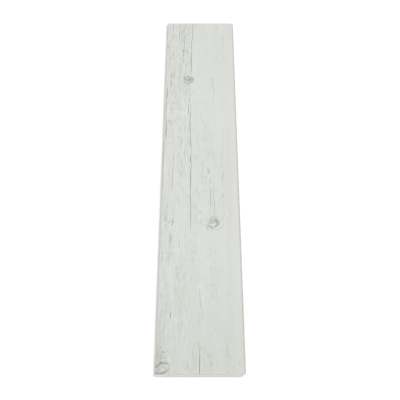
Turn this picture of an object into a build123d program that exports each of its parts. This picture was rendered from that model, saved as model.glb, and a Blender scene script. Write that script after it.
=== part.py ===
from build123d import *
import os

# A laminate floor plank: one pressed fibreboard with a printed, textured decor face,
# lying flat with the decor up. X runs across the plank and Y along it. The origin is on
# the underside, below the centre of the decor face, so planks laid out at steps of
# face_width and face_length meet edge to edge.
# All four edges carry the same click joint, milled through the whole board. The -X side
# and the -Y end have the tongue, with a recess under it for the neighbour's strip. The
# +X side and the +Y end have the groove and the springy strip with its locking bead.

# Board
face_width = 192.0  # decor face, across the grain
face_length = 1285.0  # decor face, along the grain
thickness = 8.0
edge_bevel = 0.3  # eased edge round the decor face

# How far the joint reaches past the decor face, on the long sides and on the short ends
side_tongue_reach = 3.0
side_strip_reach = 5.0
end_tongue_reach = 2.6
end_strip_reach = 4.6

# Tongue and groove
tongue_thickness = 2.3
tongue_nose_radius = 0.8
groove_end_gap = 0.5  # air in front of the tongue's nose
joint_play = 0.1  # clearance between faces that slide on each other

# Locking strip, which runs out under the neighbour
strip_thickness = 2.1
strip_end_height = 1.2  # upright face at the strip's free end
strip_end_gap = 0.4  # air in front of that end, under the neighbour
lip_step = 0.7  # the groove's floor stands this much above the strip
lip_shelf = 0.4  # level part of that floor outside the joint face

# Locking bead on the strip, and the locking groove that takes it
bead_height = 1.1
bead_width = 2.3
bead_lean = 0.5  # run of the locking face from root to crest
bead_crest = 0.9
corner_radius = 0.2  # left by the cutters in the joint's small corners

# Heights above the underside, from the strip up to the groove's ceiling
groove_floor = strip_thickness + lip_step
tongue_bottom = groove_floor + joint_play
tongue_top = tongue_bottom + tongue_thickness
groove_ceiling = tongue_top + joint_play
bead_top = strip_thickness + bead_height


def groove_edge(tongue_reach, strip_reach):
    """Corners from the decor face down, as (distance past the joint face, height, radius)."""
    groove_end = -(tongue_reach + groove_end_gap)
    bead_root = strip_reach - bead_width
    crest_start = bead_root + bead_lean
    return [
        (-edge_bevel, thickness, 0),
        (0, thickness - edge_bevel, 0),
        (0, groove_ceiling, corner_radius),
        (groove_end, groove_ceiling, tongue_nose_radius),
        (groove_end, groove_floor, tongue_nose_radius),
        (lip_shelf, groove_floor, corner_radius),
        (lip_shelf + lip_step, strip_thickness, corner_radius),
        (bead_root, strip_thickness, corner_radius),
        (crest_start, bead_top, corner_radius),
        (crest_start + bead_crest, bead_top, corner_radius),
        (strip_reach, strip_end_height, corner_radius),
        (strip_reach, 0, corner_radius),
    ]


def recess_depth(strip_reach):
    """How far the recess under a tongue runs in from the joint face."""
    return strip_reach + strip_end_gap


def tongue_edge(tongue_reach, strip_reach):
    """The same for a tongue. The recess below it follows the neighbour's strip and bead."""
    recess_ceiling = strip_thickness + joint_play
    ramp_start = -(lip_shelf + joint_play)
    lock_face = -(strip_reach - bead_width - joint_play)
    return [
        (-edge_bevel, thickness, 0),
        (0, thickness - edge_bevel, 0),
        (0, tongue_top, corner_radius),
        (tongue_reach, tongue_top, tongue_nose_radius),
        (tongue_reach, tongue_bottom, tongue_nose_radius),
        (ramp_start, tongue_bottom, corner_radius),
        (ramp_start - lip_step, recess_ceiling, corner_radius),
        (lock_face, recess_ceiling, corner_radius),
        (lock_face - bead_lean, bead_top + joint_play, corner_radius),
        (-recess_depth(strip_reach), bead_top + joint_play, corner_radius),
        (-recess_depth(strip_reach), 0, 0),
    ]


def joint_section(plane, face_span, tongue_reach, strip_reach):
    """The board's section between opposite edges, tongue at the low end, groove at the high."""
    joint_face = face_span / 2
    high_end = [
        (joint_face + run, height, radius)
        for run, height, radius in groove_edge(tongue_reach, strip_reach)
    ]
    low_end = [
        (-joint_face - run, height, radius)
        for run, height, radius in tongue_edge(tongue_reach, strip_reach)
    ]
    outline = high_end + low_end[::-1]
    with BuildSketch(plane) as section:
        with BuildLine():
            FilletPolyline(
                [(along, height) for along, height, _ in outline],
                radius=[radius for _, _, radius in outline],
                close=True,
            )
        make_face()
    return section.sketch


with BuildPart() as plank:
    # Long sides: the section across the plank, run out past both ends
    extrude(
        joint_section(Plane.XZ, face_width, side_tongue_reach, side_strip_reach),
        amount=face_length / 2 + end_tongue_reach + end_strip_reach,
        both=True,
    )
    # Short ends: only what lies within the lengthwise section stays, as when they are milled
    extrude(
        joint_section(Plane.YZ, face_length, end_tongue_reach, end_strip_reach),
        amount=face_width / 2 + side_tongue_reach + side_strip_reach,
        both=True,
        mode=Mode.INTERSECT,
    )
    # Corners where a strip crosses the recess of the next edge: the strip stops there
    with BuildSketch():
        with Locations((-face_width / 2 - side_tongue_reach, face_length / 2)):
            Rectangle(
                side_tongue_reach + recess_depth(side_strip_reach),
                end_strip_reach,
                align=Align.MIN,
            )
        with Locations((face_width / 2, -face_length / 2 - end_tongue_reach)):
            Rectangle(
                side_strip_reach,
                end_tongue_reach + recess_depth(end_strip_reach),
                align=Align.MIN,
            )
    extrude(amount=thickness, mode=Mode.SUBTRACT)

plank.part.label = "plank"
os.makedirs("parts", exist_ok=True)
export_step(plank.part, "parts/plank.step")
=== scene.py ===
import math

import bmesh
import bpy
import numpy as np
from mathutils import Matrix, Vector


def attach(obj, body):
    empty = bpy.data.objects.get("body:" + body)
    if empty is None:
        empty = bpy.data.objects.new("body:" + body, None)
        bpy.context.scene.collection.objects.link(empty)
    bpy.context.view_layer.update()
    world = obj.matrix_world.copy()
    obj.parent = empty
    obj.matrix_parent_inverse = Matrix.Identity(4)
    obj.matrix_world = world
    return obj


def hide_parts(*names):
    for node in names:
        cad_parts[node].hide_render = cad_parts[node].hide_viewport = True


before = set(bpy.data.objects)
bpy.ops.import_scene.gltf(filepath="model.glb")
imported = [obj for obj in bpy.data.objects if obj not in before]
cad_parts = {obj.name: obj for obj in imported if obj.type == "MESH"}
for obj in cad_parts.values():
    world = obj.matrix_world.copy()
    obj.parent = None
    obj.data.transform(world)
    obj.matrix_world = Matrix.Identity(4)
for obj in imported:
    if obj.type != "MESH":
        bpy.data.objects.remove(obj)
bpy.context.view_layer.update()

# A laminate floor plank with a whitewashed, weathered wood decor, lying flat with the decor up.
# Places on the face are in millimetres: across from its left long side, as the camera sees it,
# and along from its far end. In the frame, across runs to +X and along to -Y.

MM = 0.001
FACE_WIDTH = 192.0
FACE_LENGTH = 1285.0
THICKNESS = 8.0
EDGE_EASE = 0.3  # rounding round the decor face
RIM_TURNS = (30, 60)  # degrees at which the rounding has a row of points

# The decor is pressed onto a whole sheet, and milling the joint cuts its margins off. So the
# places in the decor's tables aren't quite the face's: they start at PRINT_START on the face,
# and each of their units is PRINT_UNIT millimetres.
PRINT_START = (-3.82, 0.63)
PRINT_UNIT = (1.0435, 1.0058)

# Grid of the embossed face, with its finer spans counted from the grid's own edge
COLUMN_STEP = 1.25
FINE_COLUMN_STEP = 0.5  # beside the long cracks
ROW_STEP = 3.7
FINE_ROW_STEP = 1.5  # across the knots
FINE_COLUMNS = [(0.5, 8.8), (48.0, 52.5), (67.8, 77.8), (94.3, 98.5), (120.8, 124.5)]
FINE_ROWS = [(249.0, 293.5), (807.5, 858.0), (1205.0, FACE_LENGTH)]

# Relief pressed into the decor face
CRACK_DEPTH = 0.24
KNOT_DEPTH = 0.12
GRAIN_DEPTH = 0.05
FLAT_RIM = 0.8  # the relief starts this far inside the face
RIM_FADE = 2.5  # and reaches its full depth over this distance

# Cracks of the decor. Each has a width and points (across, along, darkness in hundredths), far end
# first. Cracks within 10 mm of each other are in different layers.
FIRST_CRACKS = [
    (1.5, [(74.6, 0, 35), (74.8, 12, 45), (74.4, 40, 38), (74.7, 60, 46), (74.6, 82, 30), (72, 90, 50),
        (71.8, 105, 63), (71.9, 122, 50), (72, 132, 35), (71.7, 150, 50), (71.8, 175, 88), (71.8, 195, 85),
        (72.2, 215, 66), (72.3, 235, 52), (73, 249, 0), (71, 398, 0), (71.5, 408, 35), (71, 420, 60),
        (70.5, 440, 60), (70.3, 474, 50), (71.5, 484, 55), (71.5, 500, 40), (72, 508, 25), (72.5, 517, 55),
        (72.4, 545, 78), (73, 557, 35), (74.5, 566, 30), (73.7, 582, 40), (72.7, 591, 72), (72.7, 608, 85),
        (74, 615, 45), (75.2, 622, 55), (74.5, 632, 35), (73.2, 645, 48), (73, 660, 78), (72.8, 690, 80),
        (72.8, 714, 50), (72.5, 726, 36), (73, 740, 78), (73.2, 762, 66), (73.7, 776, 40), (74.4, 800, 60),
        (74.2, 820, 48), (74.1, 833, 50), (73.7, 845, 50), (73.5, 851, 0)]),
    (1.5, [(8.5, 298, 0), (8.6, 308, 40), (8.8, 318, 62), (8.7, 332, 57), (7.7, 346, 95), (6.8, 365, 34),
        (6.8, 385, 47), (7.5, 405, 27), (8.2, 430, 20), (8.6, 445, 40), (8.4, 470, 68), (8.2, 488, 120),
        (7.8, 505, 60), (6.5, 525, 26), (5.2, 545, 45), (5.4, 565, 50), (4.6, 585, 50), (4.7, 605, 47),
        (5, 630, 33), (5.3, 650, 20), (5.6, 670, 45), (5.3, 690, 40), (5.3, 708, 36), (5.2, 720, 15),
        (5.2, 726, 0)]),
    (1.4, [(19.3, 0, 35), (19.3, 12, 50), (19.6, 25, 50), (19.8, 37, 42), (19.8, 45, 0)]),
    (1.4, [(24.5, 236, 0), (24.5, 243, 45), (24, 256, 40), (24, 262, 0)]),
    (1.2, [(132, 262, 0), (132, 272, 35), (133, 320, 30), (133, 346, 0)]),
    (1.2, [(62, 297, 0), (62, 304, 30), (61.5, 315, 30), (61.5, 322, 0)]),
    (1.4, [(120, 686, 0), (120, 697, 30), (120.5, 706, 25), (121.4, 716, 45), (121.4, 726, 50),
        (121.1, 737, 42), (121.3, 746, 48), (121.6, 757, 45), (121.7, 768, 38), (121.7, 779, 0)]),
    (1.4, [(154.5, 650, 0), (153.9, 657, 42), (152.4, 668, 50), (151.8, 682, 18), (151.5, 700, 20),
        (151.5, 710, 0)]),
    (1.8, [(32, 808, 0), (32, 815, 20), (31.5, 823, 50), (31.2, 833, 50), (30.5, 840, 0)]),
    (1.6, [(25.5, 858, 0), (26, 867, 35), (27, 880, 30), (26.5, 894, 35), (28, 902, 0)]),
    (1.1, [(48, 882, 0), (48, 890, 35), (48.5, 908, 35), (48, 915, 0)]),
    (1.2, [(9, 915, 0), (10, 930, 35), (9, 956, 30), (9, 965, 0)]),
    (1.3, [(163, 52, 0), (162.8, 68, 20), (163, 84, 16), (162.4, 104, 20), (162, 126, 0)]),
    (1.1, [(144, 5, 0), (144, 14, 20), (143.5, 36, 20), (143.5, 44, 0)]),
    (1.4, [(93, 1190, 0), (93.5, 1200, 20), (95.3, 1212, 28), (95.6, 1225, 48), (95.5, 1235, 88),
        (95.4, 1248, 84), (95.3, 1265, 72), (95.2, 1285, 68)]),
    (1.1, [(152, 1195, 0), (152, 1205, 30), (152.5, 1220, 35), (152.5, 1227, 0)]),
]
SECOND_CRACKS = [
    (1.5, [(52, 82, 0), (52.3, 88, 35), (52.3, 108, 33), (51.6, 122, 25), (50.4, 130, 40), (50.3, 140, 35),
        (50.4, 150, 20), (50.4, 170, 30), (50.8, 186, 25), (51.2, 198, 0)]),
    (1.7, [(40, 2, 20), (39.6, 18, 25), (38.2, 32, 30), (37.6, 42, 42), (37.7, 55, 30), (37.8, 70, 42),
        (37.8, 82, 38), (37.8, 88, 0)]),
    (1.4, [(22.2, 125, 0), (22, 135, 20), (21.8, 145, 33), (21.9, 156, 50), (21.7, 166, 35),
        (21.8, 176, 30), (21.8, 183, 0)]),
    (1.5, [(18, 238, 0), (18.1, 246, 30), (18.2, 258, 42), (17.9, 268, 20), (18, 280, 20), (17.5, 290, 40),
        (16.7, 300, 32), (16.5, 308, 0)]),
    (1.2, [(128, 265, 0), (128, 275, 25), (128, 300, 20), (128, 314, 0)]),
    (1.4, [(71, 290, 0), (70.5, 300, 30), (69.5, 318, 20), (68.5, 338, 25), (68.4, 355, 42),
        (68.4, 372, 42), (67, 382, 35), (66, 390, 55), (65.6, 405, 80), (64.6, 416, 70), (63.8, 427, 0)]),
    (1.4, [(29.5, 570, 0), (29.5, 582, 20), (29.6, 597, 50), (29.4, 612, 40), (29, 625, 42),
        (28.5, 638, 50), (28.3, 655, 42), (28, 670, 60), (27.5, 688, 52), (27.3, 703, 48), (27.3, 716, 15),
        (27.3, 722, 0)]),
    (1.4, [(131, 743, 0), (131, 750, 25), (131.2, 758, 38), (131.2, 768, 40), (131.6, 778, 50),
        (131.3, 788, 10), (131.3, 800, 10), (131, 812, 10), (131, 816, 0)]),
    (1.3, [(94.5, 1032, 0), (95.2, 1044, 22), (95.2, 1056, 30), (96.2, 1068, 28), (97.6, 1078, 24),
        (98, 1090, 18), (98.7, 1100, 10), (101, 1110, 12), (102.5, 1120, 14), (103.5, 1128, 0)]),
    (1.5, [(32, 1107, 0), (32, 1113, 45), (31.8, 1117, 95), (31.8, 1121, 70), (31.8, 1126, 12),
        (31.8, 1129, 0)]),
    (1.1, [(156, 1195, 0), (156, 1205, 30), (156, 1221, 30), (156, 1229, 0)]),
]
CRACK_LAYERS = [FIRST_CRACKS, SECOND_CRACKS]

# Soft strokes of the knots: a half width and points (across, along, darkness). Darkness below
# zero is bright.
KNOT_STROKES = [
    # Far knot
    (2.7, [(54, 260, 85), (55.5, 266, 80), (58, 270.5, 95), (62, 272.3, 98), (67, 272.3, 98),
        (69.8, 269, 100), (69.8, 265, 85), (72, 260, 75)]),
    (2.2, [(74.5, 258.5, 55), (76.4, 264, 90), (76.4, 272, 85), (74.8, 277, 65), (72.5, 282, 85)]),
    (2.9, [(55, 282, 85), (59, 285, 50), (65, 287, 42), (69, 285, 50), (72, 282, 80)]),
    (1.6, [(54, 258, 30), (53.8, 249, 25), (56.5, 242, 25), (57.5, 234, 20)]),
    # Middle knot
    (2.9, [(135, 819, 78), (136.5, 823, 78), (137, 829, 84), (138.3, 834, 78), (136.5, 838.5, 88),
        (133, 839.5, 80), (132, 843, 65)]),
    (2.0, [(140, 820, 35), (141, 828, 50), (140.5, 836, 45)]),
    (1.6, [(121, 808, 20), (121, 820, 58), (121, 826, 55), (121, 831, 100)]),
    (1.6, [(126, 805, 25), (126, 816, 55), (126, 823, 62), (126, 831, 60)]),
    (1.4, [(131, 806, 30), (131, 814, 45), (131, 831, 50)]),
    (1.8, [(116.5, 831.5, 45), (126, 831.5, 40)]),
    (2.4, [(115.5, 842, 50), (119, 842.5, 55), (123, 844, 75), (125, 847.5, 75), (126, 851, 25)]),
    (1.6, [(113.5, 840, 30), (114, 848, 35), (116.5, 854.5, 40)]),
    (2.0, [(150, 832, 18), (150, 841, 20), (146, 847, 30), (142, 850.5, 28), (134, 852, 18)]),
    (2.0, [(124, 836, -30), (129, 836, -40), (133, 834.5, -50)]),
    # Corner knot
    (2.7, [(3.5, 1263, 40), (5.5, 1258, 115), (8, 1254.5, 85), (11.5, 1251, 110), (14, 1247.5, 110),
        (18, 1248, 90), (21, 1247.3, 78), (25, 1248.5, 92), (28.5, 1250, 55), (31, 1254, 22),
        (31.8, 1260, 15), (30.5, 1265, 30), (27.5, 1269, 60), (24.5, 1272, 95), (20, 1274, 95),
        (15, 1275.5, 102), (11, 1276, 115), (7, 1275, 98), (4.5, 1274.5, 115), (3, 1271, 80)]),
    (1.8, [(3, 1246, 45), (3, 1253, 85), (3.2, 1261, 60)]),
    (2.6, [(12, 1276.5, 120), (12, 1280, 130)]),
    (2.8, [(3, 1280.5, 130), (6, 1280, 120)]),
    (1.1, [(3, 1280, 100), (14, 1280, 80), (26, 1280, 40)]),
    (1.2, [(12, 1270, 35), (18, 1270.5, 40), (22, 1268, 35)]),
]

# Soft patches of the knots: (across, along, half width, half length, darkness)
KNOT_PATCHES = [
    # Far knot
    (62, 257, 4.2, 4, 82), (64.5, 271, 12.5, 16, 50), (62, 292, 6, 4.5, 30), (50.5, 273.5, 2.4, 3.4, 40),
    (61.5, 264, 3.2, 3, -42), (64, 279.2, 5.5, 1.9, -22), (73, 292, 3, 3.5, -45), (79, 251, 3, 6, -35),
    (79, 297, 2, 9, -35), (61.5, 248, 3.5, 2.5, -35), (69.5, 241, 2, 3.5, -40),
    # Middle knot
    (134.2, 821, 5.2, 6.2, 76), (136.5, 808.5, 2.6, 2.6, 50), (128.5, 823, 14.5, 9.5, 34),
    (117.5, 840, 6.5, 6.5, 32), (138.5, 846, 3.4, 3.2, -40), (116, 859, 3, 2.2, -30),
    # Corner knot
    (14, 1263, 17, 18, 20), (9.5, 1266.5, 2.6, 4.8, 60), (14, 1266, 1.6, 1.8, 40),
    (24.5, 1265, 2.2, 4.5, 40), (18.5, 1265.5, 4.6, 2.8, -62), (15, 1258, 2.4, 2.6, -40),
    (28.5, 1274, 2.2, 1.8, -50), (8.5, 1243, 2, 2.2, 55), (13.5, 1243.5, 2.4, 2.8, 50),
    (4.5, 1222, 8.5, 30, 20), (12.7, 1226, 1.4, 3.6, 60), (14, 1235, 2.8, 3.6, 50),
    (17, 1230.5, 1.4, 3.4, 45), (17.3, 1219, 2.5, 3.4, 75), (13, 1207.5, 1.7, 3, 45),
    (23.3, 1235, 2.2, 3, 50), (28, 1217, 1.3, 2.6, 35), (28.3, 1242, 1.4, 2.2, 30),
    (28.8, 1278, 1.7, 1.4, 45), (5, 1243.5, 2, 2.4, -40),
]

# Middle, half width and half length of the knots, round which the grain bends
KNOT_BODIES = [((65, 269), 13, 19), ((129, 831), 17, 21), ((15, 1263), 17, 18)]

# Soft patches of the wash, as the knots have. Thin wash is grey, and thick wash, with its darkness
# below zero, is pale.
SMUDGES = [
    # Broad washes
    (82, 200, 12, 170, -18), (112, 320, 26, 170, -17), (112, 130, 18, 90, -8), (160, 420, 30, 160, -11),
    (184, 500, 12, 420, -7), (48, 400, 12, 90, -8), (18, 600, 20, 150, -16), (56, 760, 16, 120, -4),
    (48, 1200, 16, 80, -12), (140, 1230, 18, 60, -6),
    # Left third, from the far end to the first knot
    (40, 12, 2, 12, 15), (49.5, 36, 3, 9, 52), (52, 18, 3, 12, 25), (57, 38, 3, 5, -35),
    (45, 52, 5, 12, 30), (46, 75, 5, 12, 22), (53, 70, 3.2, 9, 62), (61, 50, 4, 22, 15), (16, 66, 9, 6, 20),
    (27, 48, 8, 5, -25), (24, 38, 1.5, 6, -40), (29, 86, 3, 2.5, 30), (47, 87, 5, 4, 42),
    (5.5, 117, 4, 8, 60), (10, 108, 2.5, 18, 25), (10, 127, 1.5, 5, 25), (17, 102, 2.5, 5, -30),
    (27, 102, 2.5, 5, -30), (56, 102, 1.8, 18, -45), (50.5, 136, 3, 8, 85), (50.2, 158, 2.2, 6, 55),
    (50.5, 184, 2.8, 9, 28), (60, 143, 2.8, 9, 62), (8, 150, 2.5, 8, 25), (13.5, 163, 1.5, 12, 25),
    (18.5, 150, 1.4, 22, -35), (25.7, 163, 1.3, 15, -50), (39, 165, 3, 10, -20), (44, 178, 3, 12, 22),
    (42, 203, 2.5, 6, 45), (46.5, 213, 2.3, 8, 20), (42.5, 229, 3, 6, 42), (49, 222, 1.8, 14, -35),
    (52, 208, 1.8, 10, -40), (55, 225, 1.5, 8, -30), (57.5, 213, 1.8, 24, 25), (20, 195, 2, 6, 15),
    # Left third, beside and below the first knot
    (18.5, 252, 2, 12, 30), (24, 250, 1.8, 10, 25), (17.5, 286, 3.5, 12, 20), (43, 247, 2.5, 4, 25),
    (35, 262, 3, 8, 20), (41, 266, 2, 5, 20), (28, 280, 3, 5, -30), (9, 325, 2.4, 14, 25),
    (27, 327, 3, 8, 25), (20, 345, 2, 5, 25), (15, 345, 2, 7, -50), (24, 345, 2, 6, -50),
    (33, 335, 2.5, 8, 20), (61, 320, 2.2, 12, 35), (57, 320, 1.6, 14, -30), (34, 352, 4, 2.5, 20),
    (23.5, 374, 3.2, 5, 50), (32, 371, 5, 3, 28), (38, 375, 5, 2.5, 25), (18, 373, 2, 7, -50),
    (15, 365, 4, 3, 20), (52, 367, 3, 6, -35), (40, 342, 3, 3, -25), (22.5, 398, 4, 12, 30),
    (44, 394, 5, 10, 18), (60.5, 410, 1.9, 12, -100), (57, 408, 1.5, 5, 20), (31, 395, 2, 8, 15),
    (16.5, 452, 3.6, 7, 75), (20.5, 463, 3, 6, 30), (30, 452, 2.5, 6, 30), (53, 454, 3, 3, 22),
    (30, 469, 3, 5, -30), (40, 467, 4, 4, -30), (18, 475, 2, 4, -30), (58, 477, 3, 3, 22),
    (11.5, 400, 1.5, 60, -30), (4, 425, 2.2, 14, 38),
    # Left third, middle of the plank
    (8.5, 492, 3.4, 16, 35), (7.5, 512, 2.5, 6, 12), (25, 497, 3, 12, 30), (58.5, 505, 2, 4, 25),
    (55.5, 506, 1.6, 5, -60), (53.5, 514, 1.5, 4, -45), (36, 515, 3, 3, 20), (42, 514, 3, 4, 20),
    (49, 530, 3.5, 9, 35), (38, 538, 4, 3, 32), (42.5, 531, 3, 4, -60), (52, 538, 2, 3, -35),
    (61, 538, 1.8, 6, -55), (16.5, 537, 3, 6, 36), (24, 537, 3, 6, 34), (47, 552, 2, 10, 22),
    (59, 550, 2.5, 8, 22), (56.5, 578, 3, 18, 28), (51.5, 560, 2, 10, -30), (50, 584, 3.5, 7, -35),
    (44, 583, 4, 12, 30), (60, 583, 1.3, 6, -35), (7.5, 600, 1.2, 5, -60), (8.8, 640, 1.6, 60, -40),
    (11, 680, 1.5, 14, -40), (26.8, 600, 1.3, 5, -50), (19.5, 605, 2, 12, 18), (23.5, 625, 1.5, 8, 20),
    (15, 605, 1.5, 8, 15), (38, 604, 3, 5, -20), (48.5, 615, 3, 16, 28), (56, 603, 3, 3, -25),
    (60.5, 640, 2, 7, -60), (57.5, 640, 2, 8, 20), (48.5, 652, 4.5, 14, 36), (42, 645, 2.5, 10, 20),
    (31.5, 668, 1.2, 6, -50), (25.5, 668, 1, 6, -35), (33, 642, 1.2, 6, -40), (21, 665, 1.5, 8, 15),
    (33.5, 705, 2, 12, 20), (54, 710, 3, 12, 20), (60, 716, 3, 8, 12), (20, 710, 2, 12, 15),
    # Left third, the frayed marks and what follows them
    (20, 757, 2.5, 5, 22), (17.8, 767, 2, 9, 50), (15.8, 780.5, 2, 5, 60), (12, 793, 2.2, 8, 42),
    (14.5, 803, 2, 5, 30), (7.5, 803, 2.2, 3.8, 42), (18.7, 798, 1.6, 8, 38), (14.5, 815, 3.4, 7, 62),
    (16.5, 823, 2.4, 5.5, 50), (23.5, 827.5, 3, 3.8, 45), (17, 838.5, 3.2, 6, 40), (28, 815, 2.8, 5, 36),
    (33, 808, 1.6, 4.5, 42), (31.4, 826, 2.2, 9, 35), (30, 837, 3, 3.5, 32), (31.5, 791, 4, 8, 22),
    (24, 835, 3, 3, -50), (30, 809, 1.5, 3, -40), (37, 810, 1.3, 6, -40), (12.5, 829, 3, 5, -30),
    (21, 816, 2, 5, -30), (7.5, 788, 2, 6, -30), (34, 842, 3, 3, -30), (43, 748, 2.5, 5, 20),
    (26.5, 874, 2.6, 8, 50), (29, 884, 2.2, 5, 60), (26, 892, 2.8, 8, 50), (32.3, 873.5, 1.8, 4, 50),
    (26.5, 911, 2, 3, 35), (34, 911, 2, 3, 30), (52.5, 905, 1.3, 10, -35), (28, 930, 6, 7, 48),
    (24, 945, 5, 5.5, 62), (22, 958, 3, 8, 25), (27, 970, 4, 4, 25), (44, 975, 4, 10, 30),
    (46, 993, 6, 2.5, 35), (44.5, 1003, 3, 3.5, 42), (55, 970, 4, 8, 20), (24, 924, 2, 3, -40),
    (13, 962, 3, 3, -30), (17, 945, 1.5, 8, -25), (40, 918, 3, 4, -25), (33, 885, 2, 2.5, -35),
    (26, 980, 3, 3, -30), (61, 1000, 2.5, 10, 28), (61, 948, 3, 12, 18),
    # Left third, near end
    (9.3, 1058, 1.9, 7, 42), (20, 1024, 3, 8, 15), (41.5, 1045, 2.5, 10, 25), (50, 1074, 2.5, 5, 22),
    (57, 1074, 2, 6, 22), (60.5, 1080, 2, 4, -25), (24.5, 1066, 2.5, 5, 25), (23, 1085, 2.5, 6, 22),
    (31, 1082, 3, 5, 20), (48.5, 1017, 2, 5, 22), (44, 1016, 2, 5, -25), (54.5, 1050, 3, 6, 18),
    (24, 1106, 3, 3, 28), (14, 1106, 5, 2.5, 20), (33, 1110, 4, 2.5, 22), (35.2, 1121, 1.2, 5, -60),
    (27.5, 1117, 1.5, 6, -35), (20, 1140, 3.5, 6, 28), (59, 1142, 1.8, 8, 35), (47, 1143, 1.5, 8, 30),
    (50, 1152, 3.5, 2.5, 30), (57, 1152, 2, 3, -35), (46, 1132, 2, 4, -30), (17, 1163, 3, 5, 28),
    (23, 1162, 2, 8, -25), (12.5, 1175, 2, 4, 25), (42, 1178, 4, 3, 22), (23, 1174, 4, 3.5, 30),
    (46.5, 1174, 1.6, 4, -40), (60, 1170, 1.5, 20, -30), (56.5, 1167, 2, 6, 20), (3.5, 1120, 1.8, 12, 28),
    (3.5, 1065, 2, 12, 25), (10, 1187, 8, 5, 20), (33, 1187, 5, 3, 15), (4, 1225, 5, 22, 20),
    # Right of the long crack, far half
    (84, 20, 2, 18, 15), (94, 25, 3, 8, 18), (82, 68, 4, 10, -25), (163, 72, 2.5, 4, 40),
    (156.5, 71, 3, 3, 25), (163, 50, 2, 6, 20), (160, 165, 5, 4, 20), (166, 173, 4, 3, 15),
    (143, 170, 3, 8, 15), (111, 207, 3, 5, 22), (98, 208, 3, 5, 20), (90, 215, 5, 6, 15),
    (104, 225, 14, 2.5, 15), (133, 230, 6, 3, 15), (176, 252, 3, 6, 15), (130, 265, 5, 4, 32),
    (138, 269, 2, 2.5, 30), (82, 322, 4, 6, 25), (98, 317, 3, 2.5, 20), (78, 300, 2, 12, -30),
    (140, 340, 4, 2.5, 25), (130, 339, 1.8, 6, -80), (131.5, 367, 2.8, 6, 35), (125, 364, 3.5, 5, -50),
    (103, 374, 6, 2, 25), (72.5, 390, 2, 9, 40), (155, 390, 6, 10, 12), (137.5, 425, 2.5, 10, 15),
    (89, 445, 3, 5, 18), (103, 446, 3.5, 3, 28), (110, 474.5, 3.5, 2.5, 50), (102, 474, 3, 3, -60),
    (94, 475, 2, 3, -30), (121, 460, 1.5, 18, 18), (137, 460, 1.5, 20, 20), (121, 503, 2.5, 5, 20),
    (129, 503, 2, 5, 20), (138, 505, 3, 5, 20), (114, 500, 2, 6, 18), (80, 480, 4, 4, 15),
    (86, 517, 3, 5, 20), (104, 520, 3, 6, 18), (86, 534, 4, 4, 18), (97.5, 505, 1.5, 8, -30),
    (98, 538, 2, 6, -30), (66.5, 490, 2, 12, 25), (68, 512, 3, 6, 22), (66, 535, 3, 8, 22),
    # Right of the long crack, above the second knot
    (85, 592, 3.5, 7, 35), (85.5, 606, 2.5, 6, 22), (118, 577, 4, 8, 16), (103.5, 622, 2.5, 7, 28),
    (131, 588, 3, 16, 22), (137.5, 598, 2, 8, 20), (151.5, 577, 3, 9, 20), (151.5, 600, 2.5, 5, 20),
    (150.5, 629, 2.6, 6, 32), (134.5, 628, 2.2, 8, 22), (71.8, 621, 1.5, 6, -45), (70.5, 632, 1.3, 5, 40),
    (117.3, 647, 3, 9, 60), (114.8, 636, 1.8, 4.5, 50), (111.5, 667, 2.6, 4.5, 50),
    (101.5, 667, 2.2, 6, 32), (99, 656, 3, 2.5, 25), (110.3, 648, 2.2, 9, -45), (116.8, 665, 2.2, 5, -70),
    (109.5, 621, 2.5, 5, -35), (98, 640, 2.5, 6, -30), (126, 643, 2, 5, -25), (122, 680, 2, 12, 30),
    (110, 690, 2.5, 6, 22), (102, 691, 3, 4, 25), (122, 697, 1.6, 6, -45), (98, 703, 3.5, 8, -30),
    (86.5, 717, 2.6, 7, 35), (92.5, 730, 2.5, 6, 30), (109, 718, 3, 4, 22), (129, 722, 2.5, 18, 28),
    (137.5, 712, 1.5, 12, 22), (131, 703, 2.5, 12, 15), (135.5, 695, 1.3, 8, -35), (130, 665, 3, 4, 20),
    (151, 735, 1.9, 7, 60), (148, 720, 1.5, 4, -30), (168.5, 637, 3, 4, 15), (65, 722, 2, 6, -35),
    (66, 732, 3, 8, 22), (127, 762, 1.4, 18, 25), (117.5, 762, 1.8, 14, 20), (131.5, 795, 2.6, 14, 25),
    (141, 752, 3, 3, 22), (143, 772, 3, 8, 20), (151.5, 758, 2.5, 6, 28), (152, 775, 2.5, 8, 18),
    (136.5, 748, 1.6, 4, -50), (85, 777, 2.5, 10, 30), (88, 768, 2, 5, 22), (80, 765, 3, 8, 20),
    (94.5, 777, 1.8, 6, -45), (93, 794, 3, 7, 30), (99, 795, 3, 6, 30), (95, 745, 1.5, 8, 22),
    (100, 765, 3, 8, -20), (94.5, 812, 1.8, 10, -45), (98.5, 825, 2.5, 12, 28), (91, 826, 1.8, 8, 25),
    (84, 823, 1.8, 14, 28), (87, 805, 1.5, 10, 20), (154.5, 797, 1.8, 9, 25), (160, 803, 3, 3, -30),
    (172, 800, 3, 10, 15), (150, 815, 3, 8, 20), (64, 765, 3, 8, 25), (63.5, 835, 1.8, 6, 22),
    (71.5, 835, 1.3, 8, -50), (67, 855, 2, 8, -30), (76, 862, 2, 6, 20), (88, 866, 3, 8, 22),
    (106, 840, 3, 4, 15),
    # Right of the long crack, below the second knot
    (79.5, 949, 2.8, 5, 45), (80, 961, 2.5, 2.5, 25), (72, 897, 4.5, 4, 25), (77, 887, 3, 4, 22),
    (67, 885, 2.5, 5, 20), (87, 905, 5, 2.5, 20), (84, 925, 5, 8, 18), (67, 950, 2.5, 6, 22),
    (119.5, 917, 3, 5, 22), (118.5, 935, 3, 5, 18), (121, 978, 3.5, 8, 30), (129, 980, 3, 5, 20),
    (124, 1000, 3, 12, 22), (130, 930, 3, 5, 18), (83, 993, 2.8, 5, 24), (77.5, 1008, 3.5, 8, 20),
    (73, 982, 4, 6, 20), (86, 975, 2, 8, 15), (92, 993, 2, 6, 20), (91, 1015, 2.5, 5, 22),
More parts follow.
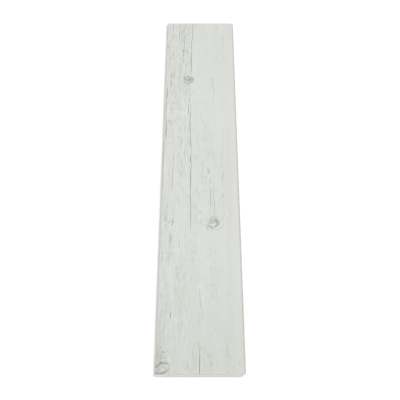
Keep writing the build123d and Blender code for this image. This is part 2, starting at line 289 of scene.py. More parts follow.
    (142.5, 1003, 4, 4, 28), (145.5, 985, 2, 8, 18), (164, 992, 2.5, 7, 25), (165.5, 1006, 2, 6, 20),
    (158, 1008, 2.5, 6, 20), (101, 1006, 5, 4, 18), (112.5, 1007, 3, 5, 20), (123.5, 1030, 3, 6, 38),
    (114, 1032, 3, 7, 20), (130, 1025, 2, 10, 20), (131.5, 1041, 5, 2.5, 22), (123.5, 1052, 4, 7, 25),
    (133, 1052, 3, 5, 28), (139, 1050, 3, 7, -35), (123, 1065, 3.5, 5, 35), (130, 1065, 2.5, 5, 25),
    (158.5, 1055, 3, 6, 20), (165, 1070, 2.5, 4, -25), (94, 900, 4, 5, -20), (93.5, 1043, 1.2, 8, -45),
    (98, 1032, 3, 4, -30), (103, 1072, 3, 10, -30), (113, 961, 4, 3, -30), (99, 1085, 2.5, 8, 30),
    (101, 1108, 4, 8, 20), (66, 1100, 2.5, 10, 25), (74, 1135, 4, 6, 20), (95, 1138, 3.2, 6, 38),
    (96, 1127, 1.8, 12, 20), (130, 1117, 2, 8, 22), (129, 1155, 3, 4, 28), (134, 1165, 1.2, 14, 22),
    (145, 1163, 1.2, 14, 25), (145, 1112, 3, 4, -25), (155, 1153, 5, 6, 15),
    # Right of the long crack, near end
    (151, 1185, 1.8, 10, 22), (158, 1190, 2, 12, 20), (91.5, 1197, 3, 6, 32), (86, 1205, 2, 6, 22),
    (81.5, 1222, 1.8, 8, 40), (82.5, 1233, 2, 6, 35), (88.5, 1234, 2, 3, 30), (85.5, 1237, 2, 4, 25),
    (90, 1240, 1.8, 12, 20), (70.5, 1256, 2.2, 12, 36), (82.5, 1252, 1.5, 12, 28), (77, 1272, 1.5, 10, 25),
    (88, 1255, 2, 12, 20), (104.5, 1250, 1.5, 14, 20), (98, 1210, 2.5, 6, 42), (105, 1210, 2, 10, 25),
    (111.5, 1218, 1.3, 8, 25), (115.5, 1228, 3, 6, 40), (123, 1223, 5, 2.5, 22), (123, 1232, 5, 2.5, 22),
    (120, 1250, 2.8, 5.5, 55), (120, 1268, 3.5, 7, 16), (154.5, 1229, 3.5, 3.5, 42), (155, 1240, 3, 3, 32),
    (147, 1232, 2, 3, 22), (162, 1232, 2, 4, 22), (155, 1252, 2.5, 6, 20), (145, 1218, 1.8, 5, 22),
    (137.5, 1247, 2, 8, -15), (167, 1257, 3, 6, 10), (179, 1252, 1.8, 10, 28), (155, 1275, 4, 6, 20),
    (93, 1255, 1, 20, -25),
]

# The patches' darkness along the plank: fainter between the frayed marks and the near end
SMUDGE_PLACES = (820, 920, 1170, 1215)
SMUDGE_STRENGTHS = (1, 0.74, 0.74, 1.1)

# Shape of the cracks
CRACK_WAVER = 0.3  # how far a crack strays to either side of its points
CRACK_WAVER_SIZE = (5.0, 22.0)
CRACK_OVERRUN = 12.0  # a crack's line is followed this far past its ends
CRACK_REACH = 4.5  # and it colours nothing further from its middle
NO_CRACK = 20.0  # the distance where no crack is near
GROOVE_SHARE = 0.9  # half width of the pressed groove, as a share of a crack's width
CRACK_VALUES = ("Gap", "Darkness", "Width")  # what the material is told of each layer of cracks

# How the grain bends: it is pushed aside by the knots, and sways in wide and narrow waves
KNOT_PUSH = 0.75
KNOT_PUSH_LENGTH = 1.7
KNOT_PATCH_EDGE = 1.6  # above 1, a knot's soft patch has a fuller middle and a firmer edge
NO_KNOT = 4.0  # the ring coordinate where no knot is near
WIDE_SWAY = 2.2
WIDE_SWAY_SIZE = (45.0, 210.0)
NARROW_SWAY = 0.8
NARROW_SWAY_SIZE = (20.0, 70.0)
PATCH_SPARE = 1.5  # random patches reach this many times the face's size
LONG_STREAK_SIZE = (3.4, 95.0)
SHORT_STREAK_SIZE = (1.7, 40.0)
STREAK_SHIFT = 30  # keeps the bent grain's places above zero

# Layers of the grain: size across and along, detail, and a shift that keeps the layers apart
GRAIN_LAYERS = {
    "Bands": (24.0, 520.0, 1.0, 1.7),
    "Streaks": (3.2, 120.0, 3.0, 4.1),
    "Dashes": (3.4, 26.0, 2.0, 8.3),
    "Mottle": (4.0, 9.0, 2.0, 16.4),
    "Pores": (0.5, 17.0, 3.0, 12.9),
    "Grit": (0.9, 2.4, 3.0, 21.3),
}

# How the decor changes over the face, with painted shade towards the near end: two places across or along,
# and the value at each
ROUGH_LEFT = (62.0, 84.0, 1.0, 0.44)
ROUGH_RIGHT = (105.0, 150.0, 1.0, 0.6)
ROUGH_FAR = (420.0, 760.0, 1.0, 0.65)
STREAKS_ALONG = (300.0, 600.0, 0.7, 1.25)
MOTTLE_ALONG = (300.0, 600.0, 1.15, 0.85)
THIN_LEFT = (240.0, 420.0, 0.24, 0.12)
# Painted shade: the wash is drawn greyer towards the near end, standing in for the light falling off there
PAINTED_SHADE_NEAR_END = (900.0, 1285.0, 0.0, 0.22)

# Strength of the decor's marks
EVEN_TONE = 0.30
BAND_SWING = 0.4
DASH_SWING = 1.2
PORE_SPAN = (0.56, 0.68)
PORE_SHARE = 0.16
GRIT_SPAN = (0.3, 0.7, 0.75, 1.25)
PATCH_FRAY = 0.8
RING_TURNS = 34.0  # radians of the ring pattern from a knot's middle to its rim
RING_WAVER = 4.0
RING_SPAN = (-0.4, 1.0, 0.88, 1.0)
KNOT_CHALK = 0.6
CRACK_FRAY = 0.7
CRACK_TAPER = 0.3  # power of the darkness in a crack's width
CRACK_DEEPENING = 0.7  # and in its colour
CRACK_THINNEST = 0.05
CRACK_LINE = (0.25, 1.0, 1.0, 0.0)
CRACK_HALO = (0.6, 3.6, 1.0, 0.0)
HALO_CHALK = 0.2
BUMP_DEPTH = 0.0001  # metres

# The milled joint: heights in millimetres, and the shares of its darker fibres
DENSE_SPAN = (1.2, 4.0)  # above and below the board's middle
DECOR_SEAM = (THICKNESS - 0.42, THICKNESS - 0.34)
BACKING_SEAM = (0.10, 0.20, 1.0, 0.0)
DENSE_SHARE = 0.35
FLECK_SHARE = 0.35

# Colours, as linear red, green, blue and alpha
WASH_PALE = (0.745, 0.757, 0.722, 1.0)
WASH_GREY = (0.600, 0.617, 0.575, 1.0)
CHALK = (0.86, 0.87, 0.84, 1.0)
PORE_GREY = (0.47, 0.485, 0.44, 1.0)
SMUDGE_GREY = (0.41, 0.43, 0.365, 1.0)
KNOT_GREEN = (0.272, 0.294, 0.222, 1.0)
CRACK_DARK = (0.165, 0.182, 0.108, 1.0)
CORE_PALE = (0.745, 0.75, 0.71, 1.0)
CORE_CLOUD = (0.695, 0.70, 0.655, 1.0)
CORE_DENSE = (0.64, 0.64, 0.59, 1.0)
CORE_FLECK = (0.56, 0.555, 0.50, 1.0)
BACKING_PALE = (0.65, 0.64, 0.59, 1.0)
BACKING_DARK = (0.58, 0.57, 0.52, 1.0)
WHITE = (1.0, 1.0, 1.0, 1.0)
FLOOR_WHITE = (0.9, 0.9, 0.9, 1.0)

# Light levels, at which a colour renders about as it is written
SKY_LEVEL = 0.62
LAMP_TOWARD = (-0.35, 0.3, -1.0)
LAMP_SOFTNESS = 60.0  # degrees
LAMP_STRENGTH = 1.28
FLOOR_LIFT = 0.16
FLOOR_REACH = 12.0  # metres
FLOOR_DROP = 0.00005

# Camera
CAMERA_PLACE = (0.0005, -1.9373, 1.8506)
CAMERA_DIP = 45.29  # degrees below the horizon
CAMERA_TURN = -0.0054
CAMERA_LENS = 92.469

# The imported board, as it is taken over
WELD = 1e-7  # metres
HAIR = 1e-6  # metres, less than any size of the board
FACING_DOWN = -0.99

# Finishes of the board's faces, in the order of its materials
DECOR, CORE, BACKING = 0, 1, 2


def smooth(value):
    """Eases a value between 0 and 1."""
    value = np.clip(value, 0, 1)
    return value * value * (3 - 2 * value)


def patches(seed, across, along, across_size, along_size):
    """Smooth random values from -1 to 1, in patches of that size."""
    columns = int(FACE_WIDTH * PATCH_SPARE / across_size) + 3
    rows = int(FACE_LENGTH * PATCH_SPARE / along_size) + 3
    corners = np.random.default_rng(seed).uniform(-1, 1, (columns, rows))
    column = np.clip(across / across_size + 1, 0, columns - 2)
    row = np.clip(along / along_size + 1, 0, rows - 2)
    i, j = column.astype(int), row.astype(int)
    u, v = smooth(column - i), smooth(row - j)
    far = corners[i, j] * (1 - u) + corners[i + 1, j] * u
    near = corners[i, j + 1] * (1 - u) + corners[i + 1, j + 1] * u
    return far * (1 - v) + near * v


def stepped(length, step, fine_step, fine_spans):
    """Places from 0 to length, at fine_step inside the spans and at step elsewhere."""
    ends = [0.0] + [min(end, length) for span in fine_spans for end in span] + [length]
    places = []
    for number, (start, stop) in enumerate(zip(ends, ends[1:])):
        spacing = fine_step if number % 2 else step
        count = max(1, round((stop - start) / spacing))
        places.extend(np.linspace(start, stop, count, endpoint=False))
    return np.unique(np.round(places + [length], 4))


def crack_fields(number, across, along):
    """Signed distance to the middle of the nearest crack of a layer, and its darkness and width."""
    gap = np.full(across.shape, NO_CRACK)
    darkness = np.zeros(across.shape)
    width = np.ones(across.shape)
    for index, (crack_width, points) in enumerate(CRACK_LAYERS[number]):
        middles, places, tones = (np.array(values, float) for values in zip(*points))
        waver = patches(100 * number + index, 0 * along, along, *CRACK_WAVER_SIZE) * CRACK_WAVER
        offset = across - np.interp(along, places, middles) - waver
        reached = (along > places[0] - CRACK_OVERRUN) & (along < places[-1] + CRACK_OVERRUN)
        nearer = reached & (np.abs(offset) < np.abs(gap))
        tone = np.interp(along, places, tones / 100) * (along >= places[0]) * (along <= places[-1])
        gap = np.where(nearer, offset, gap)
        darkness = np.where(nearer, tone, darkness)
        width = np.where(nearer, crack_width, width)
    darkness = np.where(np.abs(gap) < CRACK_REACH, darkness, 0)
    return gap, darkness, width


def soft_patches(table, edge, across, along):
    """Darkness and brightness that a table's soft patches leave at each place."""
    dark = np.zeros(across.shape)
    bright = np.zeros(across.shape)
    for middle, place, half_width, half_length, tone in table:
        spread = ((across - middle) / half_width) ** 2 + ((along - place) / half_length) ** 2
        mark = tone * np.exp(-(spread**edge))
        dark = np.maximum(dark, mark)
        bright = np.minimum(bright, mark)
    return dark, bright


def stroke_mark(half_width, points, across, along):
    """Darkness that a knot's soft stroke leaves at each place."""
    mark = np.zeros(across.shape)
    for (x0, y0, tone0), (x1, y1, tone1) in zip(points, points[1:]):
        span_x, span_y = x1 - x0, y1 - y0
        share = ((across - x0) * span_x + (along - y0) * span_y) / (span_x**2 + span_y**2)
        share = np.clip(share, 0, 1)
        distance = np.hypot(across - x0 - share * span_x, along - y0 - share * span_y)
        tone = tone0 + (tone1 - tone0) * share
        soft = tone * np.exp(-((distance / half_width) ** 2))
        mark = np.maximum(mark, soft) if tone0 > 0 else np.minimum(mark, soft)
    return mark


def knot_fields(across, along):
    """The knots' darkness, their ring coordinate, and how far they push the grain aside."""
    dark, bright = soft_patches(KNOT_PATCHES, KNOT_PATCH_EDGE, across, along)
    for half_width, points in KNOT_STROKES:
        mark = stroke_mark(half_width, points, across, along)
        dark = np.maximum(dark, mark)
        bright = np.minimum(bright, mark)
    reach = np.full(across.shape, NO_KNOT)
    push = np.zeros(across.shape)
    for (middle, place), half_width, half_length in KNOT_BODIES:
        u = (across - middle) / half_width
        v = (along - place) / half_length
        reach = np.minimum(reach, np.hypot(u, v))
        push += KNOT_PUSH * half_width * u * np.exp(-(u**2) / 2 - (v / KNOT_PUSH_LENGTH) ** 2 / 2)
    return (dark + bright) / 100, reach, push


def smudge_field(across, along):
    """Darkness of the wash's soft patches."""
    dark, bright = soft_patches(SMUDGES, 1, across, along)
    return (dark * np.interp(along, SMUDGE_PLACES, SMUDGE_STRENGTHS) + bright) / 100


def face_grid():
    """The decor face's grid, its relief and the fields of its pattern, as (column, row) arrays."""
    inner_width, inner_length = FACE_WIDTH - 2 * EDGE_EASE, FACE_LENGTH - 2 * EDGE_EASE
    columns = stepped(inner_width, COLUMN_STEP, FINE_COLUMN_STEP, FINE_COLUMNS) + EDGE_EASE
    rows = stepped(inner_length, ROW_STEP, FINE_ROW_STEP, FINE_ROWS) + EDGE_EASE
    face_across, face_along = np.meshgrid(columns, rows, indexing="ij")
    across = (face_across - PRINT_START[0]) / PRINT_UNIT[0]
    along = (face_along - PRINT_START[1]) / PRINT_UNIT[1]
    fields = {}
    groove = np.zeros(across.shape)
    for number in range(len(CRACK_LAYERS)):
        gap, darkness, width = crack_fields(number, across, along)
        for label, values in zip(CRACK_VALUES, (gap, darkness, width)):
            fields[f"{label} {number}"] = values
        profile = np.clip(1 - np.abs(gap) / (width * GROOVE_SHARE), 0, 1)
        groove = np.maximum(groove, smooth(profile) * np.sqrt(darkness))
    fields["knot_dark"], fields["knot_reach"], push = knot_fields(across, along)
    fields["smudge"] = smudge_field(across, along)
    sway = WIDE_SWAY * patches(7, across, along, *WIDE_SWAY_SIZE)
    sway += NARROW_SWAY * patches(8, across, along, *NARROW_SWAY_SIZE)
    grain_across = across - push + sway
    fields["grain_across"] = grain_across

    # The pressed grain, in long streaks with shorter ones between
    shifted = grain_across + STREAK_SHIFT
    streak = patches(11, shifted, along, *LONG_STREAK_SIZE)
    streak += 0.5 * patches(12, shifted, along, *SHORT_STREAK_SIZE)
    relief = CRACK_DEPTH * groove + KNOT_DEPTH * np.clip(fields["knot_dark"], 0, 1)
    relief += GRAIN_DEPTH * smooth(0.5 + 0.5 * streak)
    from_sides = np.minimum(face_across, FACE_WIDTH - face_across)
    from_ends = np.minimum(face_along, FACE_LENGTH - face_along)
    fade = smooth((np.minimum(from_sides, from_ends) - FLAT_RIM) / RIM_FADE)
    return face_across, face_along, relief * fade, fields


def open_board(packed):
    """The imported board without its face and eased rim, with the finish of every face left."""
    bm = bmesh.new()
    bm.from_mesh(packed)
    bmesh.ops.remove_doubles(bm, verts=bm.verts, dist=WELD)
    level = THICKNESS * MM - HAIR
    worn = [face for face in bm.faces if any(vert.co.z > level for vert in face.verts)]
    bmesh.ops.delete(bm, geom=worn, context="FACES")
    for face in bm.faces:
        under = face.normal.z < FACING_DOWN and face.calc_center_median().z < HAIR
        face.material_index = BACKING if under else CORE
        face.smooth = False
    return bm


def lay_grid(bm, across, along, relief):
    """Adds the embossed face, and gives its points by column and row."""
    places = (across - FACE_WIDTH / 2, FACE_LENGTH / 2 - along, THICKNESS - relief)
    places = (np.stack(places, axis=-1) * MM).tolist()
    points = [[bm.verts.new(place) for place in column] for column in places]
    for here, beside in zip(points, points[1:]):
        for j in range(len(here) - 1):
            face = bm.faces.new((here[j], here[j + 1], beside[j + 1], beside[j]))
            face.smooth = True
            face.material_index = DECOR
    return points


def grid_outline(points):
    """The grid's outer points in order, and the numbers of its four corners in that order."""
    columns, rows = len(points), len(points[0])
    ring = points[0] + [column[-1] for column in points[1:]]
    ring += points[-1][-2::-1] + [column[0] for column in points[-2:0:-1]]
    return ring, [0, rows - 1, rows + columns - 2, 2 * rows + columns - 3]


def split_edge(bm, start, stop, places):
    """Splits the edge from start to stop at these places, and gives its points in order."""
    edge = next(e for e in start.link_edges if e.other_vert(start) == stop)
    loop = [start]
    for place in places:
        share = (place - loop[-1].co).length / (stop.co - loop[-1].co).length
        edge, point = bmesh.utils.edge_split(edge, loop[-1], share)
        edge = next(e for e in point.link_edges if e.other_vert(point) == stop)
        loop.append(point)
    return loop + [stop]


def board_outline(bm, ring, ring_corners):
    """The open board's upper edge, split so that each of its points lies beside one of the ring's."""
    below = (THICKNESS - EDGE_EASE / 2) * MM
    open_points = [vert for vert in bm.verts if any(edge.is_boundary for edge in vert.link_edges)]
    open_points = [vert for vert in open_points if vert.co.z < below]
    corners = [
        min(open_points, key=lambda vert: (vert.co - ring[number].co).length)
        for number in ring_corners
    ]
    outline = []
    for side in range(4):
        start, stop = corners[side], corners[(side + 1) % 4]
        last = ring_corners[side + 1] if side < 3 else len(ring)
        fixed = 0 if side % 2 == 0 else 1  # this side's X or Y stays the same
        places = []
        for vert in ring[ring_corners[side] + 1:last]:
            place = vert.co.copy()
            place[fixed] = start.co[fixed]
            place.z = start.co.z
            places.append(place)
        outline += split_edge(bm, start, stop, places)[:-1]
    return outline


def close_rim(bm, ring, outline):
    """Rounds the rim from the grid's ring down to the board's outline, and gives its rows."""
    rims = [ring]
    for degrees in RIM_TURNS:
        turn = math.radians(degrees)
        row = []
        for inner, outer in zip(ring, outline):
            place = inner.co.lerp(outer.co, math.sin(turn))
            place.z = outer.co.z + (inner.co.z - outer.co.z) * math.cos(turn)
            row.append(bm.verts.new(place))
        rims.append(row)
    rims.append(outline)
    for upper, lower in zip(rims, rims[1:]):
        for number in range(len(ring)):
            after = (number + 1) % len(ring)
            face = bm.faces.new((upper[number], lower[number], lower[after], upper[after]))
            face.smooth = True
    return rims


def board_mesh(packed, across, along, relief, fields):
    """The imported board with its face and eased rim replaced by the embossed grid."""
    bm = open_board(packed)
    points = lay_grid(bm, across, along, relief)
    ring, ring_corners = grid_outline(points)
    rims = close_rim(bm, ring, board_outline(bm, ring, ring_corners))
    bm.verts.index_update()
    total = len(bm.verts)
    grid_index = np.array([[vert.index for vert in column] for column in points])
    rim_index = np.array([[vert.index for vert in row] for row in rims])
    bmesh.ops.recalc_face_normals(bm, faces=bm.faces)

    mesh = bpy.data.meshes.new("laminate_plank")
    bm.to_mesh(mesh)
    bm.free()
    for name, grid_values in fields.items():
        values = np.zeros(total)
        values[grid_index] = grid_values
        for row in rim_index[1:]:
            values[row] = values[rim_index[0]]
        layer = mesh.attributes.new(name, "FLOAT", "POINT")
        layer.data.foreach_set("value", np.asarray(values, np.float32))
    return mesh


# Small helpers for the materials

def add(tree, kind, inputs=(), **settings):
    """Adds a node. inputs gives sockets by name or number, each a value or another node's output."""
    new = tree.nodes.new(kind)
    for name, value in settings.items():
        setattr(new, name, value)
    for key, value in dict(inputs).items():
        if isinstance(value, bpy.types.NodeSocket):
            tree.links.new(value, new.inputs[key])
        else:
            new.inputs[key].default_value = value
    return new


def maths(tree, operation, *values):
    return add(tree, "ShaderNodeMath", enumerate(values), operation=operation).outputs[0]


def product(tree, first, *others):
    for other in others:
        first = maths(tree, "MULTIPLY", first, other)
    return first


def swing(tree, value, amount):
    """A value round 0.5 as one round zero, times an amount."""
    return product(tree, maths(tree, "SUBTRACT", value, 0.5), amount)


def ramp(tree, value, low, high, start=0.0, stop=1.0):
    """Eases from start to stop as value goes from low to high."""
    inputs = {"Value": value, "From Min": low, "From Max": high, "To Min": start, "To Max": stop}
    return add(tree, "ShaderNodeMapRange", inputs, interpolation_type="SMOOTHSTEP").outputs[0]


def blend_colours(tree, share, first, second):
    """Goes from the first colour to the second as share goes from 0 to 1."""
    inputs = {0: share, 6: first, 7: second}
    return add(tree, "ShaderNodeMix", inputs, data_type="RGBA").outputs[2]


def noise(tree, place, scale, detail, roughness=0.55):
    inputs = {"Vector": place, "Scale": scale, "Detail": detail, "Roughness": roughness}
    return add(tree, "ShaderNodeTexNoise", inputs).outputs[0]


def field(tree, name):
    """One of the values that the mesh holds at its points."""
    return add(tree, "ShaderNodeAttribute", attribute_type="GEOMETRY", attribute_name=name).outputs["Fac"]


def object_place(tree):
    return add(tree, "ShaderNodeTexCoord").outputs["Object"]


def finish(tree, surface, colour, roughness, height, bump_strength):
    """Feeds a surface's colour, its roughness and the height of its fine bumps."""
    tree.links.new(colour, surface.inputs["Base Color"])
    tree.links.new(roughness, surface.inputs["Roughness"])
    inputs = {"Strength": bump_strength, "Distance": BUMP_DEPTH, "Height": height}
    tree.links.new(add(tree, "ShaderNodeBump", inputs).outputs[0], surface.inputs["Normal"])


def new_material(name):
    material = bpy.data.materials.new(name)
    material.use_nodes = True
    tree = material.node_tree
    return material, tree, tree.nodes["Principled BSDF"]


def new_group(name, inputs, outputs, given_as="NodeSocketFloat"):
    """A node group with named inputs and outputs, and its two ends' sockets."""
    group = bpy.data.node_groups.new(name, "ShaderNodeTree")
    for label in inputs:
        group.interface.new_socket(label, in_out="INPUT", socket_type=given_as)
    for label in outputs:
        group.interface.new_socket(label, in_out="OUTPUT", socket_type="NodeSocketFloat")
    return group, group.nodes.new("NodeGroupInput").outputs, group.nodes.new("NodeGroupOutput").inputs


def make_grain_group():
    """Layers of grain that run along the plank, in millimetres of the bent grain."""
    group, given, result = new_group("wood_grain", ["Across", "Along"], GRAIN_LAYERS)
    for label, (across_size, along_size, detail, shift) in GRAIN_LAYERS.items():
        place = add(group, "ShaderNodeCombineXYZ", {
            "X": maths(group, "DIVIDE", given["Across"], across_size),
            "Y": maths(group, "DIVIDE", given["Along"], along_size),
            "Z": shift,
        }).outputs[0]
        group.links.new(noise(group, place, 1.0, detail), result[label])
    return group


def make_crack_group():
    """A crack from the distance to its middle: a dark line with a frayed edge."""
    group, given, result = new_group("crack_line", [*CRACK_VALUES, "Fray"], ["Line", "Halo"])
    shift = swing(group, given["Fray"], CRACK_FRAY)
    distance = maths(group, "ABSOLUTE", maths(group, "ADD", given["Gap"], shift))
    taper = maths(group, "POWER", given["Darkness"], CRACK_TAPER)
    reach = product(group, given["Width"], taper)
    depth = maths(group, "POWER", given["Darkness"], CRACK_DEEPENING)
    share = maths(group, "DIVIDE", distance, maths(group, "MAXIMUM", reach, CRACK_THINNEST))
    line = product(group, ramp(group, share, *CRACK_LINE), depth)
    group.links.new(line, result["Line"])
    halo = product(group, ramp(group, distance, *CRACK_HALO), given["Darkness"])
    group.links.new(halo, result["Halo"])
    return group


def make_fibre_group():
    """Pressed wood fibres: flecks and wide clouds, flattened in the board's plane."""
    outputs = ["Flecks", "Cloud"]
    group, given, result = new_group("pressed_fibres", ["Place"], outputs, "NodeSocketVector")
    flattened = {"Vector": given["Place"], "Scale": (1.0, 1.0, 4.0)}
    flat = add(group, "ShaderNodeMapping", flattened).outputs[0]
    group.links.new(noise(group, flat, 900.0, 4.0, 0.7), result["Flecks"])
    group.links.new(noise(group, given["Place"], 60.0, 2.0), result["Cloud"])
    return group


grain_group = make_grain_group()
crack_group = make_crack_group()
fibre_group = make_fibre_group()


def decor_place(tree):
    """Across and along in the units of the decor's tables."""
    parts = add(tree, "ShaderNodeSeparateXYZ", {0: object_place(tree)}).outputs
    left_side = (FACE_WIDTH / 2 - PRINT_START[0]) / PRINT_UNIT[0]
    far_end = (FACE_LENGTH / 2 - PRINT_START[1]) / PRINT_UNIT[1]
    across = maths(tree, "MULTIPLY_ADD", parts["X"], 1000.0 / PRINT_UNIT[0], left_side)
    along = maths(tree, "MULTIPLY_ADD", parts["Y"], -1000.0 / PRINT_UNIT[1], far_end)
    return across, along


def wash_tone(tree, grain, across, along):
    """How much grey the wash lets through, most unevenly on the left third at the far end; painted shade
    greys the near end.
    """
    left = ramp(tree, across, *ROUGH_LEFT)
    right = ramp(tree, across, *ROUGH_RIGHT)
    far = ramp(tree, along, *ROUGH_FAR)
    rough = product(tree, left, right, far)
    streaks = swing(tree, grain["Streaks"], ramp(tree, along, *STREAKS_ALONG))
    dashes = swing(tree, grain["Dashes"], DASH_SWING)
    mottle = swing(tree, grain["Mottle"], ramp(tree, along, *MOTTLE_ALONG))
    marks = maths(tree, "ADD", maths(tree, "ADD", streaks, dashes), mottle)
    even = maths(tree, "ADD", swing(tree, grain["Bands"], BAND_SWING), EVEN_TONE)
    tone = maths(tree, "MULTIPLY_ADD", marks, rough, even)
    tone = maths(tree, "MULTIPLY_ADD", left, ramp(tree, along, *THIN_LEFT), tone)
    # Painted shade: the wash turns greyer towards the near end
    tone = maths(tree, "ADD", tone, ramp(tree, along, *PAINTED_SHADE_NEAR_END))
    return ramp(tree, tone, 0.0, 1.0)


def tint_knots(tree, wash, grain, grit):
    """Knots, with fine rings where they are dark and chalk where they are bright."""
    knot = field(tree, "knot_dark")
    ring_place = product(tree, field(tree, "knot_reach"), RING_TURNS)
    turns = maths(tree, "MULTIPLY_ADD", grain["Dashes"], RING_WAVER, ring_place)
    rings = ramp(tree, maths(tree, "SINE", turns), *RING_SPAN)
    dark = product(tree, maths(tree, "MAXIMUM", knot, 0.0), product(tree, rings, grit))
    bright = product(tree, maths(tree, "MINIMUM", knot, 0.0), -KNOT_CHALK)
    wash = blend_colours(tree, dark, wash, KNOT_GREEN)
    return blend_colours(tree, bright, wash, CHALK)


def crack_marks(tree, grain):
    """The cracks' dark lines, and the halos beside them."""
    lines, halos = [], []
    for number in range(len(CRACK_LAYERS)):
        inputs = {label: field(tree, f"{label} {number}") for label in CRACK_VALUES}
        inputs["Fray"] = grain["Dashes"]
        crack = add(tree, "ShaderNodeGroup", inputs, node_tree=crack_group).outputs
        lines.append(crack["Line"])
        halos.append(crack["Halo"])
    return maths(tree, "MAXIMUM", *lines), maths(tree, "MAXIMUM", *halos)


def make_decor():
    """The printed and embossed face: thin wash over pale boards, cracks, knots and worn patches."""
    material, tree, surface = new_material("whitewashed_wood_decor")
    across, along = decor_place(tree)
    grain_place = {"Across": field(tree, "grain_across"), "Along": along}
    grain = add(tree, "ShaderNodeGroup", grain_place, node_tree=grain_group).outputs
    wash = blend_colours(tree, wash_tone(tree, grain, across, along), WASH_PALE, WASH_GREY)
    pores = ramp(tree, grain["Pores"], *PORE_SPAN)
    wash = blend_colours(tree, product(tree, pores, PORE_SHARE), wash, PORE_GREY)

    # Worn grey patches, broken up by the grain and the print's grit, and chalky ones
    grit = ramp(tree, grain["Grit"], *GRIT_SPAN)
    frayed = maths(tree, "ADD", swing(tree, grain["Dashes"], PATCH_FRAY), grit)
    smudge = field(tree, "smudge")
    wash = blend_colours(tree, product(tree, smudge, frayed), wash, SMUDGE_GREY)
    wash = blend_colours(tree, product(tree, smudge, -1.0), wash, CHALK)
    wash = tint_knots(tree, wash, grain, grit)

    # Cracks, each with a pale line of chalky wash beside it
    line, halo = crack_marks(tree, grain)
    wash = blend_colours(tree, product(tree, halo, HALO_CHALK), wash, CHALK)
    wash = blend_colours(tree, line, wash, CRACK_DARK)

    roughness = maths(tree, "MULTIPLY_ADD", grain["Streaks"], 0.14, 0.42)
    roughness = maths(tree, "MULTIPLY_ADD", line, 0.3, roughness)
    height = product(tree, grain["Streaks"], 0.5)
    height = maths(tree, "SUBTRACT", height, product(tree, pores, 0.5))
    finish(tree, surface, wash, roughness, maths(tree, "SUBTRACT", height, line), 0.35)
    surface.inputs["Specular IOR Level"].default_value = 0.4
    return material


def make_fibreboard():
    """The milled core: pale pressed fibres, denser and darker towards both faces of the board."""
    material, tree, surface = new_material("milled_fibreboard")
    place = object_place(tree)
    height = product(tree, add(tree, "ShaderNodeSeparateXYZ", {0: place}).outputs["Z"], 1000.0)
    fibres = add(tree, "ShaderNodeGroup", {"Place": place}, node_tree=fibre_group).outputs
    off_middle = maths(tree, "ABSOLUTE", maths(tree, "SUBTRACT", height, THICKNESS / 2))
    dense = ramp(tree, off_middle, *DENSE_SPAN)
    core = blend_colours(tree, fibres["Cloud"], CORE_PALE, CORE_CLOUD)
    core = blend_colours(tree, product(tree, dense, DENSE_SHARE), core, CORE_DENSE)
    flecks = ramp(tree, fibres["Flecks"], 0.45, 0.72)
    core = blend_colours(tree, product(tree, flecks, FLECK_SHARE), core, CORE_FLECK)

    # The thin decor layer above the core, and the sheet below it
    core = blend_colours(tree, ramp(tree, height, *DECOR_SEAM), core, WASH_PALE)
    core = blend_colours(tree, ramp(tree, height, *BACKING_SEAM), core, BACKING_PALE)
    roughness = maths(tree, "MULTIPLY_ADD", flecks, 0.1, 0.78)
    finish(tree, surface, core, roughness, fibres["Flecks"], 0.5)
    surface.inputs["Specular IOR Level"].default_value = 0.3
    return material


def make_backing():
    """The plain balancing sheet under the board: pale resin-soaked paper, slightly clouded."""
    material, tree, surface = new_material("balancing_sheet")
    place = object_place(tree)
    fibres = add(tree, "ShaderNodeGroup", {"Place": place}, node_tree=fibre_group).outputs
    paper = blend_colours(tree, fibres["Cloud"], BACKING_PALE, BACKING_DARK)
    flecks = ramp(tree, fibres["Flecks"], 0.5, 0.75)
    paper = blend_colours(tree, product(tree, flecks, 0.2), paper, CORE_CLOUD)
    roughness = maths(tree, "MULTIPLY_ADD", fibres["Cloud"], 0.15, 0.45)
    finish(tree, surface, paper, roughness, fibres["Flecks"], 0.2)
    return material


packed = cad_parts["plank"].data
plank = bpy.data.objects.new("laminate_plank", board_mesh(packed, *face_grid()))
bpy.context.scene.collection.objects.link(plank)
for material in (make_decor(), make_fibreboard(), make_backing()):
    plank.data.materials.append(material)
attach(plank, "root")
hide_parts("plank")


# Studio: a white floor that keeps the plank's soft shadow, a soft lamp and an even sky

def seen_ray(tree):
    """1 for what the camera sees, itself or mirrored, and 0 for light on its way to the plank."""
    path = add(tree, "ShaderNodeLightPath").outputs
    return maths(tree, "MINIMUM", 1.0, maths(tree, "ADD", path["Is Camera Ray"], path["Is Glossy Ray"]))


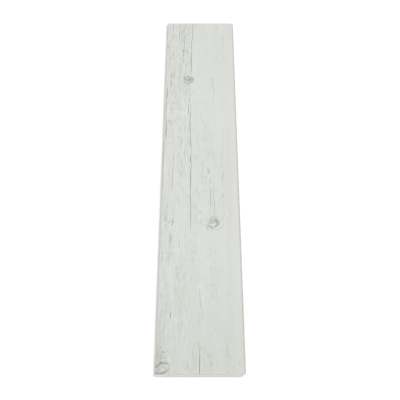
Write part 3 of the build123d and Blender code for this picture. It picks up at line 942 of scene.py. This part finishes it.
def make_floor():
    material, tree, surface = new_material("studio_floor")
    tree.nodes.remove(surface)
    diffuse = add(tree, "ShaderNodeBsdfDiffuse", {"Color": FLOOR_WHITE}).outputs[0]
    strength = product(tree, seen_ray(tree), FLOOR_LIFT)
    lift = add(tree, "ShaderNodeEmission", {"Color": WHITE, "Strength": strength}).outputs[0]
    both = add(tree, "ShaderNodeAddShader", {0: diffuse, 1: lift}).outputs[0]
    tree.links.new(both, tree.nodes["Material Output"].inputs["Surface"])
    bm = bmesh.new()
    bmesh.ops.create_grid(bm, x_segments=1, y_segments=1, size=FLOOR_REACH)
    mesh = bpy.data.meshes.new("studio_floor")
    bm.to_mesh(mesh)
    bm.free()
    mesh.materials.append(material)
    floor = bpy.data.objects.new("studio_floor", mesh)
    floor.location.z = -FLOOR_DROP
    bpy.context.scene.collection.objects.link(floor)


def make_sky():
    """An even sky, white where it is seen and dimmer as light."""
    world = bpy.data.worlds.new("studio_sky")
    bpy.context.scene.world = world
    world.use_nodes = True
    tree = world.node_tree
    sky = tree.nodes["Background"]
    strength = maths(tree, "MULTIPLY_ADD", seen_ray(tree), 1.0 - SKY_LEVEL, SKY_LEVEL)
    sky.inputs["Color"].default_value = WHITE
    tree.links.new(strength, sky.inputs["Strength"])


def make_lamp():
    """A distant soft light from the front right, above the plank."""
    light = bpy.data.lights.new("soft_lamp", "SUN")
    light.angle = math.radians(LAMP_SOFTNESS)
    light.energy = LAMP_STRENGTH
    lamp = bpy.data.objects.new("soft_lamp", light)
    lamp.location = -1.5 * Vector(LAMP_TOWARD)
    lamp.rotation_euler = Vector(LAMP_TOWARD).to_track_quat("-Z", "Y").to_euler()
    bpy.context.scene.collection.objects.link(lamp)


def make_camera():
    """The camera on the plank's centre line, in front of its near end, looking down along it."""
    data = bpy.data.cameras.new("camera")
    data.sensor_width = 36.0
    data.lens = CAMERA_LENS
    data.clip_start = 0.05
    data.clip_end = 50.0
    camera = bpy.data.objects.new("camera", data)
    camera.location = CAMERA_PLACE
    camera.rotation_euler = (math.radians(90 - CAMERA_DIP), 0, math.radians(CAMERA_TURN))
    bpy.context.scene.collection.objects.link(camera)
    bpy.context.scene.camera = camera


make_floor()
make_sky()
make_lamp()
make_camera()
bpy.context.scene.view_settings.view_transform = "Standard"

bpy.context.view_layer.update()
